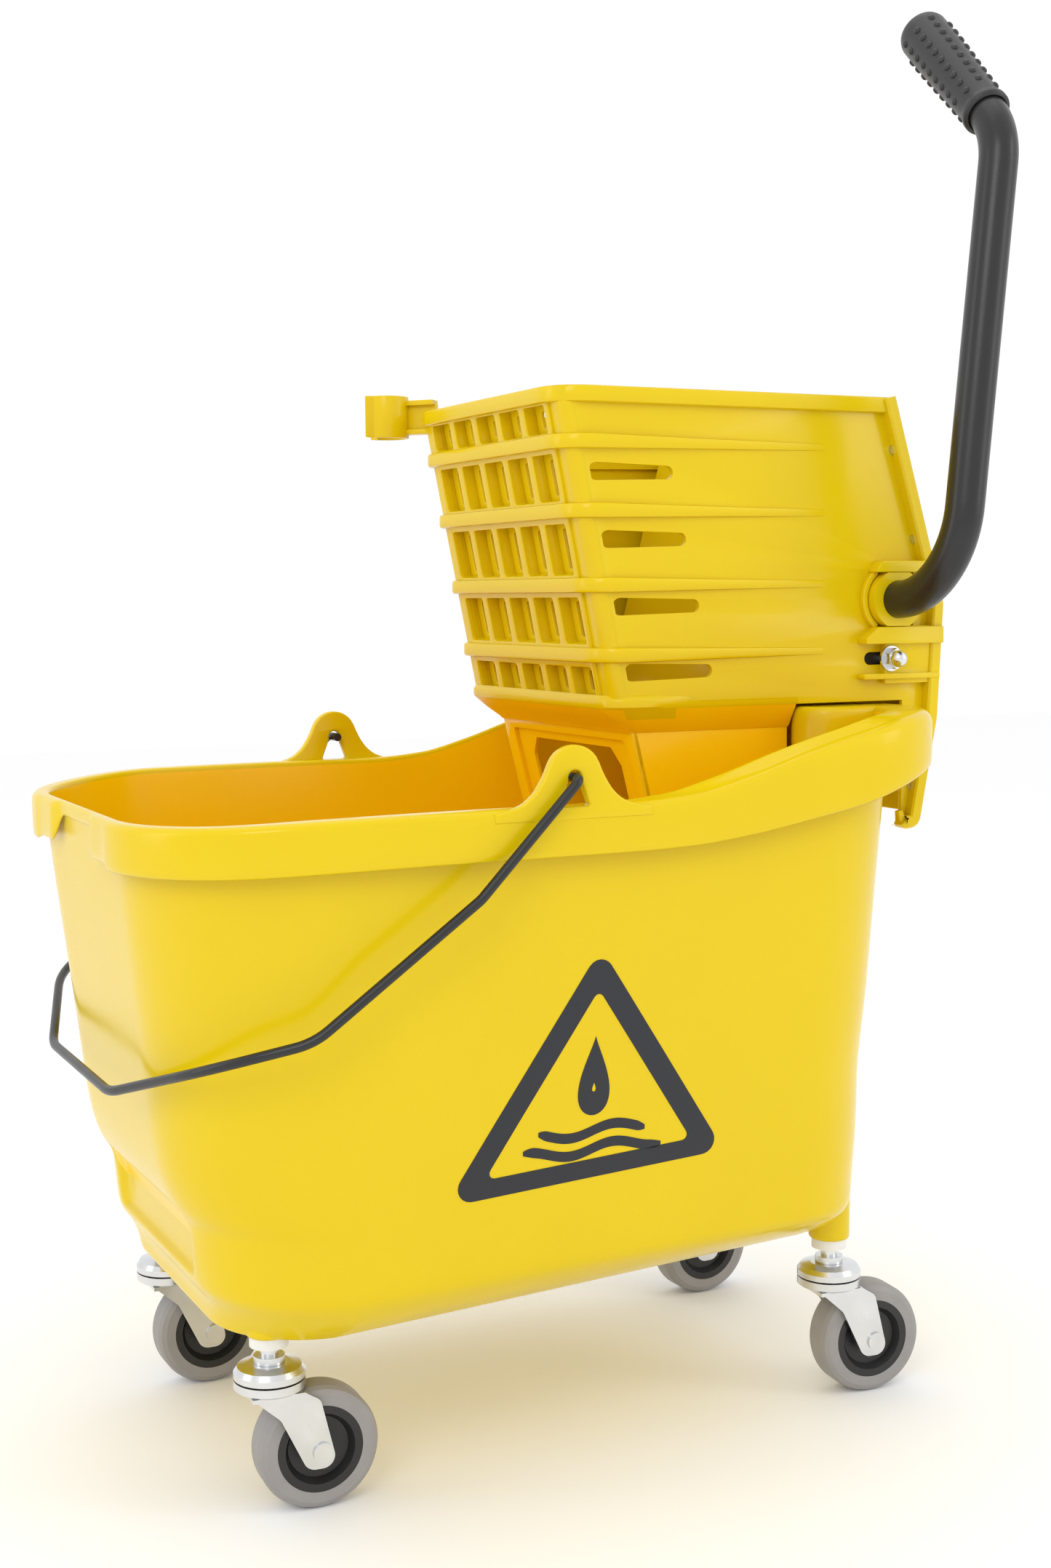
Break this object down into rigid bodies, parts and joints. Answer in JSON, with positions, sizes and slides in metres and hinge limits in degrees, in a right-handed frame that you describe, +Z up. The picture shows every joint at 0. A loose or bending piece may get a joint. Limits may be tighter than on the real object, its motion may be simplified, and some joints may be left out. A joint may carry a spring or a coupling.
{
  "type": "mop and bucket with wringer",
  "caption": "Rolling mop bucket with a pour spout and wire bail, carrying a lift-off side-press wringer with a bent tube lever.",
  "frame": {"origin": "on the floor, under the centre of the whole object", "axes": "+X toward the wringer end, -X toward the pour spout, +Y away from the lever's side, +Z up"},
  "size_m": [0.5964, 0.426, 0.9453],
  "materials": {
    "bucket_plastic": "glossy moulded",
    "wringer_plastic": "glossy moulded",
    "cover_plastic": "glossy moulded",
    "press_plastic": "glossy moulded",
    "bush_plastic": "glossy moulded",
    "bail_wire": "black coated wire",
    "lever_paint": "semi-gloss black powder coat",
    "grip_rubber": "satin",
    "cap_plastic": "satin",
    "screw_steel": "zinc plated",
    "bolt_steel": "zinc plated",
    "washer_steel": "zinc plated",
    "nut_steel": "bright plated",
    "crank_steel": "black powder coat",
    "pin_steel": "zinc plated",
    "roller_plastic": "natural nylon",
    "track_steel": "zinc plated",
    "arm_steel": "zinc plated",
    "rail_plastic": "satin black",
    "socket_plastic": "natural nylon",
    "stem_steel": "zinc plated",
    "raceway_steel": "zinc plated",
    "ball_steel": "polished",
    "fork_steel": "bright zinc plated",
    "rivet_steel": "zinc plated",
    "hub_plastic": "satin black",
    "tyre_rubber": "grey, satin"
  },
  "bodies": {
    "bucket": {"bucket_shell": "bucket_plastic", "caster_socket_front_near": "socket_plastic", "caster_stem_front_near": "stem_steel", "raceway_cap_front_near": "raceway_steel", "caster_socket_front_far": "socket_plastic", "caster_stem_front_far": "stem_steel", "raceway_cap_front_far": "raceway_steel", "caster_socket_rear_near": "socket_plastic", "caster_stem_rear_near": "stem_steel", "raceway_cap_rear_near": "raceway_steel", "caster_socket_rear_far": "socket_plastic", "caster_stem_rear_far": "stem_steel", "raceway_cap_rear_far": "raceway_steel"},
    "bail": {"bail_handle": "bail_wire"},
    "wringer": {"wringer_body": "wringer_plastic", "rear_cover": "cover_plastic", "cover_screws": "screw_steel", "guide_bolts": "bolt_steel", "guide_washers": "washer_steel", "acorn_nuts": "nut_steel", "lever_bush_near": "bush_plastic", "lever_bush_far": "bush_plastic", "guide_rail_near": "rail_plastic", "guide_rail_far": "rail_plastic"},
    "lever": {"lever_tube": "lever_paint", "lever_grip": "grip_rubber", "shaft_cap": "cap_plastic", "crank_arm_near": "crank_steel", "crank_arm_far": "crank_steel", "crank_pin_near": "pin_steel", "crank_pin_far": "pin_steel", "crank_roller_near": "roller_plastic", "crank_roller_far": "roller_plastic"},
    "press": {"press_plate": "press_plastic", "press_track_near": "track_steel", "press_track_far": "track_steel", "slide_arm_near": "arm_steel", "slide_arm_far": "arm_steel"},
    "swivel_front_near": {"caster_fork_front_near": "fork_steel", "bearing_balls_front_near": "ball_steel", "axle_rivet_front_near": "rivet_steel"},
    "wheel_front_near": {"wheel_hub_front_near": "hub_plastic", "tyre_front_near": "tyre_rubber"},
    "swivel_front_far": {"caster_fork_front_far": "fork_steel", "bearing_balls_front_far": "ball_steel", "axle_rivet_front_far": "rivet_steel"},
    "wheel_front_far": {"wheel_hub_front_far": "hub_plastic", "tyre_front_far": "tyre_rubber"},
    "swivel_rear_near": {"caster_fork_rear_near": "fork_steel", "bearing_balls_rear_near": "ball_steel", "axle_rivet_rear_near": "rivet_steel"},
    "wheel_rear_near": {"wheel_hub_rear_near": "hub_plastic", "tyre_rear_near": "tyre_rubber"},
    "swivel_rear_far": {"caster_fork_rear_far": "fork_steel", "bearing_balls_rear_far": "ball_steel", "axle_rivet_rear_far": "rivet_steel"},
    "wheel_rear_far": {"wheel_hub_rear_far": "hub_plastic", "tyre_rear_far": "tyre_rubber"}
  },
  "joints": [
    {"name": "swivel_front_near", "type": "hinge", "parent": "bucket", "child": "swivel_front_near", "pos_m": [-0.20965, -0.1107, 0.083], "axis": [0, 0, 1], "continuous": true},
    {"name": "wheel_front_near", "type": "hinge", "parent": "swivel_front_near", "child": "wheel_front_near", "pos_m": [-0.18189, -0.11216, 0.0381], "axis": [0.0523, 0.9986, 0], "continuous": true},
    {"name": "swivel_front_far", "type": "hinge", "parent": "bucket", "child": "swivel_front_far", "pos_m": [-0.20965, 0.1107, 0.083], "axis": [0, 0, 1], "continuous": true},
    {"name": "wheel_front_far", "type": "hinge", "parent": "swivel_front_far", "child": "wheel_front_far", "pos_m": [-0.18185, 0.11099, 0.0381], "axis": [-0.0105, 0.9999, 0], "continuous": true},
    {"name": "swivel_rear_near", "type": "hinge", "parent": "bucket", "child": "swivel_rear_near", "pos_m": [0.19595, -0.1107, 0.083], "axis": [0, 0, 1], "continuous": true},
    {"name": "wheel_rear_near", "type": "hinge", "parent": "swivel_rear_near", "child": "wheel_rear_near", "pos_m": [0.22366, -0.11293, 0.0381], "axis": [0.0802, 0.9968, 0], "continuous": true},
    {"name": "swivel_rear_far", "type": "hinge", "parent": "bucket", "child": "swivel_rear_far", "pos_m": [0.19595, 0.1107, 0.083], "axis": [0, 0, 1], "continuous": true},
    {"name": "wheel_rear_far", "type": "hinge", "parent": "swivel_rear_far", "child": "wheel_rear_far", "pos_m": [0.22373, 0.11167, 0.0381], "axis": [-0.0349, 0.9994, 0], "continuous": true},
    {"name": "bail_swing", "type": "hinge", "parent": "bucket", "child": "bail", "pos_m": [-0.04665, 0, 0.4476], "axis": [0, 1, 0], "range_deg": [0, 125]},
    {"name": "wringer_lift", "type": "slide", "parent": "bucket", "child": "wringer", "axis": [0, 0, 1], "range_m": [0, 0.16]},
    {"name": "lever_swing", "type": "hinge", "parent": "wringer", "child": "lever", "pos_m": [0.24235, 0, 0.549], "axis": [0, 1, 0], "range_deg": [0, 80]},
    {"name": "press_slide", "type": "slide", "parent": "wringer", "child": "press", "axis": [-1, 0, 0], "range_m": [0, 0.06645]}
  ],
  "couplings": [
    {"joint": "press_slide", "follows": "lever_swing", "m_per_rad": 0.047586}
  ]
}
